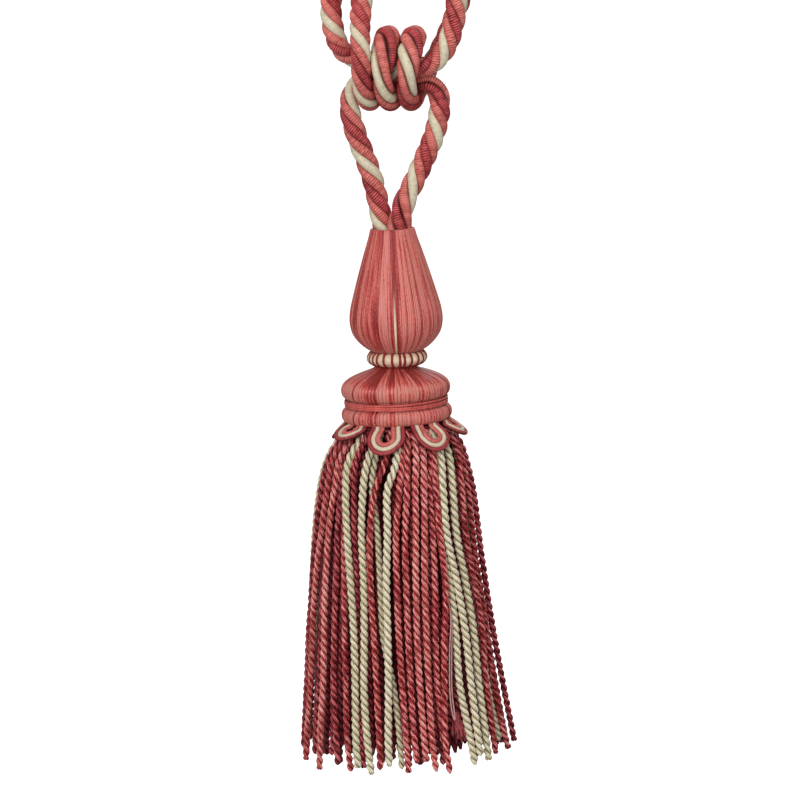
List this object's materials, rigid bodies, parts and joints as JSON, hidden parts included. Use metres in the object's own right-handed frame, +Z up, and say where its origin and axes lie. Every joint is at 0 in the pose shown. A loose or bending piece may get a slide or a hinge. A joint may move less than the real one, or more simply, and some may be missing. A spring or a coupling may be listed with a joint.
{
  "type": "curtain tieback tassel",
  "caption": "Curtain tieback tassel: a twisted rope tied in a barrel knot over a thread-bound pear, a ribbed bead, a turned cap with looped gimp petals and a long skirt of cords.",
  "frame": {"origin": "the hook's point under the crown of the two rope arches", "axes": "+Z up along the hanging tieback, -Y towards the front of the knot, +X to the right seen from the front"},
  "size_m": [0.106, 0.1059, 0.4076],
  "materials": {
    "rope_yarn": "satin",
    "mould_thread": "satin",
    "bead_floss": "satin",
    "winding_thread": "satin",
    "gimp_cord": "satin",
    "skirt_cord": "satin"
  },
  "bodies": {
    "root": {"rope": "rope_yarn", "pear": "mould_thread", "bead": "bead_floss", "cap": "mould_thread", "groove_winding": "winding_thread", "petal_1": "gimp_cord", "petal_2": "gimp_cord", "petal_3": "gimp_cord", "petal_4": "gimp_cord", "petal_5": "gimp_cord", "petal_6": "gimp_cord", "petal_7": "gimp_cord", "petal_8": "gimp_cord", "skirt": "skirt_cord"}
  },
  "joints": []
}
